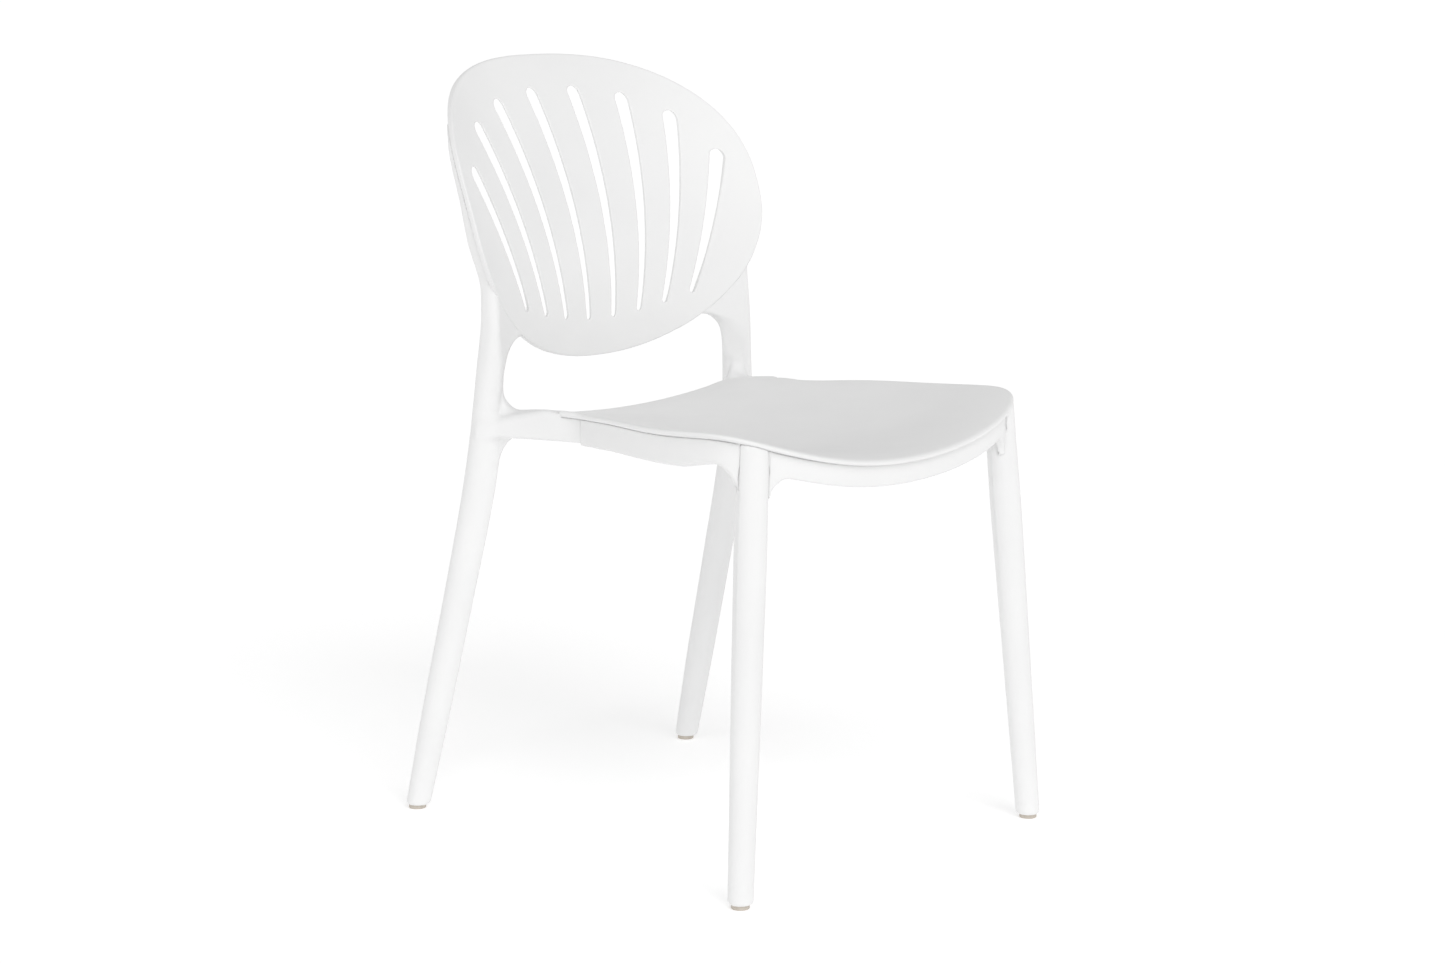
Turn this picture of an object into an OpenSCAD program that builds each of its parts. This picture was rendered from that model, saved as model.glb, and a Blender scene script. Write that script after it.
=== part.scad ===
/* [Overall] */
// Height of the top of the backrest above the floor
overall_h = 800; // [795:1:805]
// Height of the seat's rim above the floor, measured along its sides
seat_h = 465; // [462:1:467]

/* [Seat] */
// Half of the seat's width across its front corners
seat_half_w = 218.5; // [217:0.5:220]
// Half of the seat's width at its waist, ahead of the stiles
waist_half_w = 168.5; // [167:0.5:169]
// Distance of the front edge ahead of the origin
seat_front = 276; // [274:1:278]
// Distance of the rear edge behind the origin
seat_rear = 141; // [139:1:142]
// Thickness of the seat panel
seat_t = 7; // [6.5:0.5:8]
// Depth of the dish across the front of the seat
dish_front = 43; // [38:1:46]
// Depth of the dish across the rear of the seat
dish_rear = 23.5; // [20:0.5:27]

/* [Seat frame] */
// Height of the apron across the front
apron_h = 21; // [19:1:23]
// Height of the side rails
rail_h = 26; // [24:1:28]
// Thickness of the rails and the apron
rail_t = 12; // [11:0.5:13]
// How far the rails stand back under the seat's lip
rail_inset = 6.5; // [5.5:0.5:7]
// Height of the shadow gap between the seat's lip and the rails
shadow_gap = 1.2; // [1:0.1:1.6]
// Radius of the webs that fair the rails into the front legs
web_r = 23; // [20:1:25]

/* [Backrest] */
// Half of the backrest's width
back_half_w = 213.5; // [211:0.5:214]
// Height of the backrest
back_h = 320.5; // [318:0.5:322]
// Thickness of the backrest
back_t = 5; // [4.5:0.5:5.5]
// Radius of the hollow across the backrest
back_hollow_r = 464; // [450:2:480]
// Width of the slots at their tops
slot_top_w = 15.5; // [14:0.5:16.5]
// Width of the slots at their lower ends
slot_low_w = 6.2; // [5.5:0.1:7]

/* [Glides] */
// Diameter of the glides
glide_d = 18.5; // [17:0.5:19]
// Height that the glides stand out of the legs
glide_h = 4.5; // [4:0.5:5]

/* [Fasteners] */
// Thread diameter of the frame bolts
bolt_d = 6; // [5:1:6]
// Thread diameter of the panel screws
screw_d = 4; // [3.5:0.5:4]

/* [Hidden] */

// Clearance between pieces that lie against each other
fit_gap = 0.3;
// Clearance around the backrest in its rebates
rebate_gap = 0.8;
// Sides of the leg sections
leg_sides = 28;

// Colours of the moulded plastic, the glides and the metal
shell_white = [0.93, 0.93, 0.93];
glide_beige = [0.69, 0.65, 0.60];

// Front legs: centre of the foot and of the head, with the radius at heights up the leg
front_foot = [222.5, -251.5, 0];
front_head = [186, -233, 441];
front_radii = [[0, 13], [120, 13.9], [235, 15.2], [340, 16.3], [395, 15.9], [460, 15.8]];

// Rear legs and stiles: height, centre x, centre y, half width, half depth
rear_stations = [
    [0, 206, 246, 13, 13],
    [115, 201.8, 216.3, 15.3, 15.3],
    [230, 197.6, 186.3, 16.1, 16.1],
    [345, 193.4, 157, 17.3, 17.3],
    [410, 189.3, 147, 17, 17],
    [467, 184.7, 143.5, 16, 16],
    [523, 179.5, 140.5, 14.2, 14.4],
    [575, 182, 134, 11, 10.5],
    [657, 205, 142.5, 8.8, 6.5],
    [708, 200.5, 167.5, 7, 5],
    [748, 181, 201.5, 4, 2.5]];

// Start and end of the seat's plan curves along Y
front_curve_y = -181;
waist_y = 31;
// Where the seat's lip ends and the brackets rise beside the panel
lip_end_y = 57;
bracket_step = 8.5;
// Where the rear legs' brackets meet the side rails
seam_y = 33;
tongue_half_w = 150;
crossrail_y = 128;
seat_centre_y = -60;

// Backrest: height of its centre, and how square its upper and lower halves are
back_z = overall_h - back_h / 2;
upper_square = 2.5;
lower_square = 2.17;
back_egg = 0.076;
slot_tops = [[31, 765], [92, 756], [143, 735], [182, 692]];
slot_feet = [[18.5, 520], [54, 524], [88, 530.5], [122.5, 539.5]];
back_screws = [[163, 549], [176, 602], [186, 650]];

// Panel screws along the frame, as [x, y] on the right-hand side
panel_screws = [[60, -255], [177, -150], [168, -60], [144, 70]];
// Bolts through the side rails, as heights along Y
rail_bolt_ys = [62, 96];
rail_bolt_z = 424;
leg_bolt_z = 421;
insert_d = 8.5;
insert_l = 11;
washer_d = 13;
washer_t = 1.2;
bolt_head_d = 10.5;
bolt_head_h = 3.3;
pocket_r = 17;
glide_stem_d = 8;
glide_stem_l = 16;

function sign_pow(v, p) = sign(v) * pow(abs(v), p);
function mean(pts) = [for (k = [0:2]) [for (p = pts) p[k]] * [for (p = pts) 1] / len(pts)];
function mirror_x(p) = [-p[0], p[1]];

// Smooth interpolation of column c through a list of stations whose first column is the height
function slope(t, i, c) =
    let (a = max(i - 1, 0), b = min(i + 1, len(t) - 1))
    (t[b][c] - t[a][c]) / (t[b][0] - t[a][0]);
function segment(t, z, i = 0) = i >= len(t) - 2 || z <= t[i + 1][0] ? i : segment(t, z, i + 1);
function spline(t, z, c) =
    let (i = segment(t, z), h = t[i + 1][0] - t[i][0], u = (z - t[i][0]) / h)
    t[i][c] * (1 + 2 * u) * (1 - u) * (1 - u)
    + slope(t, i, c) * h * u * (1 - u) * (1 - u)
    + t[i + 1][c] * u * u * (3 - 2 * u)
    - slope(t, i + 1, c) * h * u * u * (1 - u);

// Seat surface: the height of its rim along Y, and the dish across X
function rim_h(y) = seat_h
    - (y < -13 ? 4.6 * pow(cos(90 * (y + 131) / 118), 2) : 0)
    - (y > 8 ? 15.5 * pow((y - 8) / 133, 2) : 0);
function dish(y) = dish_front - (dish_front - dish_rear) * pow(max(0, y + 249) / 390, 2.5);
function seat_top(x, y) = rim_h(y) - dish(y) * (1 - pow(x / seat_half_w, 2));
function seat_half(y) = waist_half_w
    + (seat_half_w - waist_half_w)
        * pow(max(0, 1 - pow((y - front_curve_y) / (waist_y - front_curve_y), 2)), 1.25) * (y < waist_y ? 1 : 0);

// Right half of the seat's outline: the side from the rear, then the front curve to the middle
front_depth = seat_front + front_curve_y;
side_ys = [seat_rear, 125, 100, 80, lip_end_y + 4, lip_end_y, 45, seam_y + 0.5, seam_y, 15,
    for (y = [0:-15:front_curve_y + 10]) y];
front_angles = [for (a = [0:4:88]) a];
function front_point(a) = [
    seat_half_w * sign_pow(cos(a), 2 / 3.1),
    front_curve_y - front_depth * sign_pow(sin(a), 2 / 3.1)];
right_half = concat([for (y = side_ys) [seat_half(y), y]], [for (a = front_angles) front_point(a)]);
rear_edge = [for (x = [-135:30:135]) [x, seat_rear]];
function loop(half) = concat(half, [[0, -seat_front]],
    [for (i = [len(half) - 1:-1:0]) mirror_x(half[i])]);
seat_outline = concat(loop(right_half), rear_edge);

// The panel steps in between the brackets behind the end of its lip
function panel_step(y) = y > lip_end_y ? bracket_step : 0;
panel_outline = [for (p = seat_outline)
    abs(p[0]) < seat_half(p[1]) - 1 ? p : [p[0] - sign(p[0]) * panel_step(p[1]), p[1]]];

// Backrest: its front surface, as Y over X and Z, and its outline in X and Z
function back_front(x, z) =
    let (t = (z - back_z + 4) / 100)
    186.3 + 30.7 * t + 13.1 * t * t - 0.27 * t * t * t
    - (1 / back_hollow_r - 0.00007 * t) * x * x / 2 - 4.9 * pow(x / 200, 4);
function oval_point(a) =
    let (n = a > 0 && a < 180 ? upper_square : lower_square)
    [back_half_w * sign_pow(cos(a), 2 / n) * (1 + back_egg * sin(a)),
    back_z + back_h / 2 * sign_pow(sin(a), 2 / n)];
back_outline = [for (a = [360:-5:5]) oval_point(a % 360)];

// A closed solid through a list of rings, with a fan of triangles over each end
module skin(rings) {
    n = len(rings[0]);
    m = len(rings);
    points = concat([for (r = rings) for (p = r) p], [mean(rings[0]), mean(rings[m - 1])]);
    sides = [for (k = [0:m - 2]) for (i = [0:n - 1])
        let (j = (i + 1) % n, a = k * n, b = (k + 1) * n)
        each [[a + i, b + i, b + j], [a + i, b + j, a + j]]];
    caps = [for (i = [0:n - 1])
        let (j = (i + 1) % n, last = (m - 1) * n)
        each [[i, j, m * n], [last + j, last + i, m * n + 1]]];
    polyhedron(points, concat(sides, caps));
}

// A closed ring of sections that all have the same number of corners
module ring_skin(sections) {
    n = len(sections[0]);
    m = len(sections);
    faces = [for (k = [0:m - 1]) for (i = [0:n - 1])
        let (j = (i + 1) % n, a = k * n, b = ((k + 1) % m) * n)
        each [[a + i, b + i, b + j], [a + i, b + j, a + j]]];
    polyhedron([for (s = sections) for (p = s) p], faces);
}

function section(x, y, z, rx, ry) = [for (i = [0:leg_sides - 1])
    let (a = i * 360 / leg_sides)
    [x + rx * cos(a), y + ry * sin(a), z]];

// Heights of the sections up a leg, with the rounded end at the foot first
function end_round(z) = z < glide_h + 5 ? 0.72 + 0.28 * sin(90 * (z - glide_h) / 5) : 1;
foot_zs = [glide_h, glide_h + 1.2, glide_h + 2.8, glide_h + 5];

function front_section(z) =
    let (c = front_foot + (front_head - front_foot) * z / front_head[2],
        r = spline(front_radii, z, 1) * end_round(z))
    section(c[0], c[1], z, r, r);

function rear_section(z) = section(
    spline(rear_stations, z, 1), spline(rear_stations, z, 2), z,
    spline(rear_stations, z, 3) * end_round(z), spline(rear_stations, z, 4) * end_round(z));

// Seat panel blank: a dished sheet with a rounded rim
seat_scales = [0.1, 0.3, 0.5, 0.68, 0.82, 0.93];
module seat_sheet() {
    centre = [0, seat_centre_y];
    function at(p, f, off, drop) =
        let (d = p - centre, q = centre + d * f + d / norm(d) * off)
        [q[0], q[1], seat_top(q[0], q[1]) - drop];
    rim = 2.2;
    skin(concat(
        [for (f = seat_scales) [for (p = panel_outline) at(p, f, 0, 0)]],
        [[for (p = panel_outline) at(p, 1, -rim, 0)],
        [for (p = panel_outline) at(p, 1, 0, rim)],
        [for (p = panel_outline) at(p, 1, 0, seat_t - rim)],
        [for (p = panel_outline) at(p, 1, -rim, seat_t)]],
        [for (i = [len(seat_scales) - 1:-1:0]) [for (p = panel_outline) at(p, seat_scales[i], 0, seat_t)]]));
}

// Room for the panel's right-hand edge, from its underside upward, beside the stile
panel_gap = 0.6;
module panel_room() {
    skin([for (y = [seam_y - 5, 40, 50, lip_end_y, lip_end_y + 4, 75, 90, 110, 130, 160])
        let (x = waist_half_w - panel_step(y) + panel_gap, z = seat_top(x, y) - seat_t - panel_gap,
            z_in = seat_top(130, y) - seat_t - panel_gap)
        [[130, y, z_in], [130, y, 520], [x, y, 520], [x, y, z]]]);
}

// Backrest blank, grown on every side by a clearance; scales are those of its inner rings
back_scales = [0.1, 0.3, 0.5, 0.68, 0.84];
module back_sheet(grow = 0, scales = back_scales) {
    centre = [0, back_z];
    function at(p, f, off, depth) =
        let (d = p - centre, q = centre + d * f + d / norm(d) * (off + grow))
        [q[0], back_front(q[0], q[1]) + depth, q[1]];
    rim = 1.6;
    rings = concat(
        [for (f = scales) [for (p = back_outline) at(p, f, 0, -grow)]],
        [[for (p = back_outline) at(p, 1, -rim, -grow)],
        [for (p = back_outline) at(p, 1, 0, rim - grow)],
        [for (p = back_outline) at(p, 1, 0, back_t - rim + grow)],
        [for (p = back_outline) at(p, 1, -rim, back_t + grow)]],
        [for (i = [len(scales) - 1:-1:0]) [for (p = back_outline) at(p, scales[i], 0, back_t + grow)]]);
    skin(rings);
}

// One fan slot, cut through the backrest from front to rear
module slot(top, foot) {
    axis = (top - foot) / norm(top - foot);
    side = [axis[1], -axis[0]];
    r1 = slot_top_w / 2;
    r2 = slot_low_w / 2;
    c1 = top - axis * r1;
    c2 = foot + axis * r2;
    translate([0, 320, 0]) rotate([90, 0, 0]) linear_extrude(260) {
        translate(c1) circle(r = r1, $fn = 40);
        translate(c2) circle(r = r2, $fn = 40);
        polygon([c1 + side * r1, c1 - side * r1, c2 - side * r2, c2 + side * r2]);
    }
}

// Both sides of anything drawn on the right
module both() {
    children();
    mirror([1, 0, 0]) children();
}

// Backrest screws: pan heads against the arms, turned in from behind
screw_head_h = 2.6;
screw_head_d = 8;
back_arm_depth = 5.5;
function back_screw_y(p) = back_front(p[0], p[1]) + back_t + back_arm_depth;

module back_screw_at(p) {
    translate([p[0], back_screw_y(p), p[1]]) rotate([90, 0, 0]) children();
}

module back_shell() {
    color(shell_white) difference() {
        back_sheet();
        both() for (i = [0:3]) slot(slot_tops[i], slot_feet[i]);
        both() for (p = back_screws) back_screw_at(p)
            cylinder(d = screw_d, h = back_arm_depth + back_t - 1.5, $fn = 24);
    }
}

module back_shell_screws() {
    color("silver") both() for (p = back_screws) back_screw_at(p) {
        translate([0, 0, -screw_head_h]) cylinder(d = screw_head_d, h = screw_head_h, $fn = 32);
        cylinder(d = screw_d, h = back_arm_depth + back_t - 1.8, $fn = 24);
    }
}

// Web between the stile and the lower side of the backrest, which nests in its rebate
web_outline = concat(
    [[112, 520], [136, 520]],
    [for (a = [100:-20:20]) [143 + 23 * cos(a) * 0.9, 497 + 24 * sin(a)]],
    [[170, 480], [182, 480], [184, 560], [191, 600], [203, 645], [198, 662], [187, 662],
    [162, 600], [138, 545], [122, 528]]);

module back_web() {
    xs = [105:7:210];
    zs = [478:14:664];
    // A curved wall behind the backrest's front surface, wide enough to trim to the web
    function wall(depth) = [for (z = zs) [for (x = xs) [x, back_front(x, z) + depth, z]]];
    front = wall(0.2);
    rear = wall(back_t + 5);
    rings = [for (k = [0:len(front) - 1])
        concat(front[k], [for (i = [len(rear[k]) - 1:-1:0]) rear[k][i]])];
    intersection() {
        skin(rings);
        translate([0, 320, 0]) rotate([90, 0, 0]) linear_extrude(260) polygon(web_outline);
    }
}

// Bracket from the stile forward along the seat, in side view and in plan
bracket_low_z = 416.5;
bracket_top_z = 449;
stile_face_y = 132;
function arc(c, r, a0, a1, n = 6) = [for (i = [0:n])
    let (a = a0 + (a1 - a0) * i / n)
    c + r * [cos(a), sin(a)]];
function bracket_half(y) = 165 + 35 * pow(max(0, y - seam_y) / 111, 1.5);
bracket_side = concat(
    [[0, bracket_low_z]],
    arc([stile_face_y - 36, bracket_low_z - 36], 36, 90, 0),
    [[150, 380], [150, 480]],
    arc([stile_face_y - 30, bracket_top_z + 30], 30, 0, -90),
    [[0, bracket_top_z]]);
bracket_front_y = seam_y + 1;
bracket_inner_x = tongue_half_w + fit_gap;
bracket_plan = concat(
    [[bracket_inner_x, bracket_front_y]],
    [for (y = [bracket_front_y:11.9:141.2]) [bracket_half(y), y]],
    [[190, 150], [170, 150]],
    arc([bracket_inner_x + 4, 148], 15, 10, -60, 4));
// Seen from the front, the bracket's inner part is low and only its outer part rises into the stile
bracket_face = concat(
    [[bracket_inner_x, bracket_low_z], [bracket_inner_x, bracket_top_z]],
    arc([bracket_inner_x + 8, bracket_top_z + 18], 14, -60, 0, 4),
    [[172, 490], [230, 490], [230, 370], [176, 370]],
    arc([bracket_inner_x + 4, bracket_low_z - 24], 20, 10, 75, 4));

module bracket() {
    intersection() {
        linear_extrude(500) polygon(bracket_plan);
        translate([140, 0, 0]) rotate([90, 0, 90]) linear_extrude(80) polygon(bracket_side);
        translate([0, 160, 0]) rotate([90, 0, 0]) linear_extrude(140) polygon(bracket_face);
    }
}

// Right-hand rear leg, stile, arm and bracket in one piece
arm_top_z = 735;
module rear_leg() {
    zs = concat(foot_zs, [for (z = [25:20:345]) z], [for (z = [357:13:arm_top_z]) z]);
    difference() {
        union() {
            skin([for (z = zs) rear_section(z)]);
            bracket();
            back_web();
        }
        back_sheet(rebate_gap, [0.5, 0.68, 0.84]);
        panel_room();
        translate([rear_stations[0][1], rear_stations[0][2], -1])
            cylinder(d = glide_stem_d + 0.2, h = glide_h + glide_stem_l + 1.5, $fn = 32);
        for (p = back_screws) back_screw_at(p) {
            translate([0, 0, -30]) cylinder(d = screw_head_d + 1, h = 30, $fn = 32);
            cylinder(d = screw_d + 0.6, h = 20, $fn = 24);
        }
        for (y = rail_bolt_ys) translate([tongue_half_w, y, rail_bolt_z]) rotate([0, 90, 0])
            cylinder(d = insert_d, h = insert_l + 1, $fn = 32);
    }
}

module rear_right_leg() {
    color(shell_white) rear_leg();
}

module rear_left_leg() {
    color(shell_white) mirror([1, 0, 0]) rear_leg();
}

// Lean of the front legs, as the step from the foot to the head
lean = front_head - front_foot;

// Centre of the right-hand front leg at the height of its bolts, and the bolts' direction
leg_bolt_foot = front_foot + lean * leg_bolt_z / front_head[2];
leg_bolt_turn = -45;
module at_leg_bolt() {
    translate(leg_bolt_foot) rotate([0, 0, leg_bolt_turn]) rotate([0, 90, 0]) children();
}

module front_leg() {
    zs = concat(foot_zs, [for (z = [30:30:330]) z], [340, 352, 366, 380, 395, 425]);
    head = [for (p = front_section(front_head[2]))
        [p[0], p[1], seat_top(p[0], p[1]) - seat_t - shadow_gap]];
    difference() {
        skin(concat([for (z = zs) front_section(z)], [head]));
        translate([front_foot[0], front_foot[1], -1])
            cylinder(d = glide_stem_d + 0.2, h = glide_h + glide_stem_l + 1.5, $fn = 32);
        at_leg_bolt() translate([0, 0, -20]) cylinder(d = insert_d, h = 9 + insert_l, $fn = 32);
    }
}

module front_right_leg() {
    color(shell_white) front_leg();
}

module front_left_leg() {
    color(shell_white) mirror([1, 0, 0]) front_leg();
}

// Seat frame: a ring of rails under the seat's rim, deeper where it meets the front legs
function leg_drop(x, y) =
    let (d = norm([abs(x) - 186.5, y + 233.2]) - pocket_r, u = max(0, web_r - max(0, d)))
    web_r - sqrt(web_r * web_r - u * u);
function rail_depth(y) = y < -200 ? apron_h : y > -150 ? rail_h
    : apron_h + (rail_h - apron_h) * (y + 200) / 50;

// Outline of the frame's ring at a depth in from its outer face; behind the seam it is the
// tongues inside the brackets and the crossrail
function ring_half(y, depth) = y > seam_y ? tongue_half_w - depth : seat_half(y) - rail_inset - depth;
function ring_outline(depth) =
    let (inset = rail_inset + depth,
        rear_y = crossrail_y - depth,
        half = concat(
            [[tongue_half_w - depth, rear_y]],
            [for (y = ring_ys) [ring_half(y, depth), y]],
            [for (a = front_angles)
                [(seat_half_w - inset) * sign_pow(cos(a), 2 / 3.1),
                front_curve_y - (front_depth - inset) * sign_pow(sin(a), 2 / 3.1)]]))
    concat(half, [[0, -seat_front + inset]],
        [for (i = [len(half) - 1:-1:0]) mirror_x(half[i])],
        [for (u = [-0.75:0.25:0.75]) [u * (tongue_half_w - depth), rear_y]]);
ring_ys = [105, 80, 55, seam_y + 0.5, seam_y, 15, for (y = [0:-15:front_curve_y + 10]) y];

module frame_ring() {
    outer = ring_outline(0);
    inner = ring_outline(rail_t);
    ring_skin([for (i = [0:len(outer) - 1])
        let (a = outer[i],
            b = inner[i],
            top_a = seat_top(a[0], a[1]) - seat_t - shadow_gap,
            top_b = seat_top(b[0], b[1]) - seat_t - fit_gap,
            low = top_a - rail_depth(a[1]) - leg_drop(a[0], a[1]))
        [[a[0], a[1], top_a], [b[0], b[1], top_b], [b[0], b[1], low], [a[0], a[1], low]]]);
}

// Socket that wraps the inner side of a front leg and takes its bolt
socket_wall = 9;
socket_low_z = 406;
socket_h = 27;
module leg_socket() {
    foot = [leg_bolt_foot[0], leg_bolt_foot[1]];
    translate([0, 0, socket_low_z]) linear_extrude(socket_h) polygon(concat(
        arc(foot, pocket_r + socket_wall, 75, 195, 20),
        [foot + [-8, -14], foot + [14, 8]]));
}

// Room for a front leg through the corner of the frame, with the groove around its column
module leg_room() {
    skin([for (z = [370, 500])
        let (c = front_foot + lean * z / front_head[2])
        section(c[0], c[1], z, pocket_r, pocket_r)]);
}

module panel_screw_at(p) {
    translate([p[0], p[1], seat_top(p[0], p[1]) - seat_t - shadow_gap]) children();
}

panel_screw_grip = 8;

module seat_frame() {
    color(shell_white) difference() {
        union() {
            frame_ring();
            both() leg_socket();
        }
        both() leg_room();
        both() for (p = panel_screws) panel_screw_at(p) {
            translate([0, 0, -40]) cylinder(d = screw_head_d + 1, h = 40 - panel_screw_grip, $fn = 32);
            translate([0, 0, -40]) cylinder(d = screw_d + 0.6, h = 60, $fn = 24);
        }
        both() for (y = rail_bolt_ys) translate([tongue_half_w - 30, y, rail_bolt_z])
            rotate([0, 90, 0]) cylinder(d = bolt_d + 0.6, h = 40, $fn = 32);
        both() at_leg_bolt() translate([0, 0, -60]) cylinder(d = bolt_d + 0.6, h = 60, $fn = 32);
    }
}

module seat_panel() {
    color(shell_white) difference() {
        seat_sheet();
        both() for (p = panel_screws) panel_screw_at(p)
            translate([0, 0, -1]) cylinder(d = screw_d, h = shadow_gap + 6, $fn = 24);
    }
}

module seat_panel_screws() {
    color("silver") both() for (p = panel_screws) panel_screw_at(p) {
        translate([0, 0, -panel_screw_grip - screw_head_h])
            cylinder(d = screw_head_d, h = screw_head_h, $fn = 32);
        translate([0, 0, -panel_screw_grip])
            cylinder(d = screw_d, h = panel_screw_grip + shadow_gap + 4.5, $fn = 24);
    }
}

// A button-head bolt whose head stands on z = 0 and whose shank runs along +Z
module bolt(length) {
    translate([0, 0, -bolt_head_h]) difference() {
        cylinder(d = bolt_head_d, h = bolt_head_h, $fn = 48);
        translate([0, 0, -1]) cylinder(d = 4.6, h = 3, $fn = 6);
    }
    cylinder(d = bolt_d, h = length, $fn = 32);
}

module washer() {
    difference() {
        cylinder(d = washer_d, h = washer_t, $fn = 48);
        translate([0, 0, -1]) cylinder(d = bolt_d + 0.4, h = washer_t + 2, $fn = 32);
    }
}

module insert() {
    difference() {
        cylinder(d = insert_d, h = insert_l, $fn = 32);
        translate([0, 0, -1]) cylinder(d = bolt_d, h = insert_l + 2, $fn = 32);
    }
}

// Places along the two rail bolts on the right: d is the distance outward from the rail's inner face
module at_rail_bolt(d) {
    for (y = rail_bolt_ys) translate([tongue_half_w - rail_t + d, y, rail_bolt_z])
        rotate([0, 90, 0]) children();
}

module side_rail_bolts() {
    color("silver") both() at_rail_bolt(-washer_t) bolt(washer_t + rail_t + insert_l - 1);
}

module side_rail_washers() {
    color("silver") both() at_rail_bolt(-washer_t) washer();
}

module side_rail_inserts() {
    color("goldenrod") both() at_rail_bolt(rail_t + fit_gap) insert();
}

// The leg bolts' washers lie against the sockets' inner faces
socket_face = -(pocket_r + socket_wall);
module front_leg_bolts() {
    color("silver") both() at_leg_bolt() translate([0, 0, socket_face - washer_t])
        bolt(washer_t + socket_wall + pocket_r - 2);
}

module front_leg_washers() {
    color("silver") both() at_leg_bolt() translate([0, 0, socket_face - washer_t]) washer();
}

module front_leg_inserts() {
    color("goldenrod") both() at_leg_bolt() translate([0, 0, -insert_l]) insert();
}

// A glide: a low rounded disc with a stem that is pressed into the leg
module glide(foot) {
    color(glide_beige) translate([foot[0], foot[1], 0]) {
        rotate_extrude($fn = 64) polygon([[0, 0], [glide_d / 2 - 1, 0],
            each [for (a = [-90:30:0]) [glide_d / 2 - 1 + cos(a), 1 + sin(a)]],
            [glide_d / 2, glide_h], [0, glide_h]]);
        translate([0, 0, glide_h - 0.5]) cylinder(d = glide_stem_d, h = glide_stem_l, $fn = 32);
    }
}

rear_foot = [rear_stations[0][1], rear_stations[0][2]];

module front_left_glide() {
    glide([-front_foot[0], front_foot[1]]);
}

module front_right_glide() {
    glide([front_foot[0], front_foot[1]]);
}

module rear_left_glide() {
    glide([-rear_foot[0], rear_foot[1]]);
}

module rear_right_glide() {
    glide(rear_foot);
}

back_shell();
rear_left_leg();
rear_right_leg();
front_left_leg();
front_right_leg();
seat_frame();
seat_panel();
back_shell_screws();
seat_panel_screws();
side_rail_bolts();
side_rail_washers();
side_rail_inserts();
front_leg_bolts();
front_leg_washers();
front_leg_inserts();
front_left_glide();
front_right_glide();
rear_left_glide();
rear_right_glide();
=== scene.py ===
import math

import bpy
import numpy as np
import openvdb
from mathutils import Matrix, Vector


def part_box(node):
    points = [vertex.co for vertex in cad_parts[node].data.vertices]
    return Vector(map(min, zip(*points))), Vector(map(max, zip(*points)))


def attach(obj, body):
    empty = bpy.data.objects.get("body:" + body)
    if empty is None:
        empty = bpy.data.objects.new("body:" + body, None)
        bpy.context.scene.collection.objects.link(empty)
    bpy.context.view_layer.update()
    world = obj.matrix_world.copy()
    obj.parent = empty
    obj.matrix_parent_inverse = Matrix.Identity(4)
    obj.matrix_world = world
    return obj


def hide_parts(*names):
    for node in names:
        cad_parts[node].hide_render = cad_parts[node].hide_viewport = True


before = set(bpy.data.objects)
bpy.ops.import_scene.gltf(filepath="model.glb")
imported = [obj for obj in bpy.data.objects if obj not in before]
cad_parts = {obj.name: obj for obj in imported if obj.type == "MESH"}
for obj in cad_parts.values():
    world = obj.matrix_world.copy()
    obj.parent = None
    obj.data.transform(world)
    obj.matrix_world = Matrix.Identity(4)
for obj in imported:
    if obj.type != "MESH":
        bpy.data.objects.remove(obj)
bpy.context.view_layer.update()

MM = 0.001
BODY = "root"

# ---------------------------------------------------------------------------
# Driving sizes, in millimetres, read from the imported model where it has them
# ---------------------------------------------------------------------------


def node_box(node):
    """A CAD node's box as two arrays in millimetres."""
    low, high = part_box(node)
    return np.array(low) / MM, np.array(high) / MM


SHELL_LOW, SHELL_HIGH = node_box("back_shell")
PANEL_LOW, PANEL_HIGH = node_box("seat_panel")

TOP_Z = SHELL_HIGH[2]
BACK_H = SHELL_HIGH[2] - SHELL_LOW[2]
BACK_Z = (SHELL_HIGH[2] + SHELL_LOW[2]) / 2
BACK_HALF_W = 213.5
BACK_EGG = 0.076
UPPER_SQUARE, LOWER_SQUARE = 2.5, 2.17
RIM_T, SLAT_T, TOP_T = 7.5, 4.6, 4.4

# The backrest's front surface: a leaning, bowed profile over the height, hollow across the width.
BACK_Y, BACK_LEAN, BACK_BOW, BACK_BOW_FADE = 186.3, 30.7, 13.1, 0.27
PROFILE_DROP, PROFILE_UNIT = 4.0, 100.0
HOLLOW_R, HOLLOW_FADE = 464.0, 0.00007
WING, WING_X = 4.9, 200.0

SEAT_H = 465.0
SEAT_HALF_W = PANEL_HIGH[0]
WAIST_HALF_W = 168.5
SEAT_FRONT = PANEL_LOW[1]
SEAT_REAR = PANEL_HIGH[1]
SEAT_T = 7.0
FRONT_CURVE_Y = -181.0
WAIST_Y = 31.0
WAIST_POWER = 1.25
SEAT_SQUARE = 3.1

# The seat's rim sags along its sides and falls toward the back, and its dish gets shallower there.
SAG, SAG_Y, SAG_HALF = 4.6, -131.0, 118.0
REAR_FALL, REAR_FALL_Y, REAR_FALL_RUN = 15.5, 8.0, 133.0
DISH_FRONT, DISH_REAR = 43.0, 23.5
DISH_START_Y, DISH_RUN, DISH_POWER = -249.0, 390.0, 2.5

LIP_END_Y = 57.0
LIP_R = 4.2
ROLL_DROP, ROLL_W = 1.6, 24.0
SEAM_Y = 33.0
BRACKET_STEP = 8.5
BRACKET_STEP_Y = (LIP_END_Y - 1, LIP_END_Y + 7)

RAIL_T = 12.0
RAIL_INSET = 6.5
TONGUE_HALF_W = 150.0
CROSSRAIL_Y = 128.0

FRONT_FOOT = (222.5, -251.5)
FRONT_HEAD = (186.0, -233.0)
FRONT_HEAD_Z = 441.0
GLIDE_H = 4.5

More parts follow.
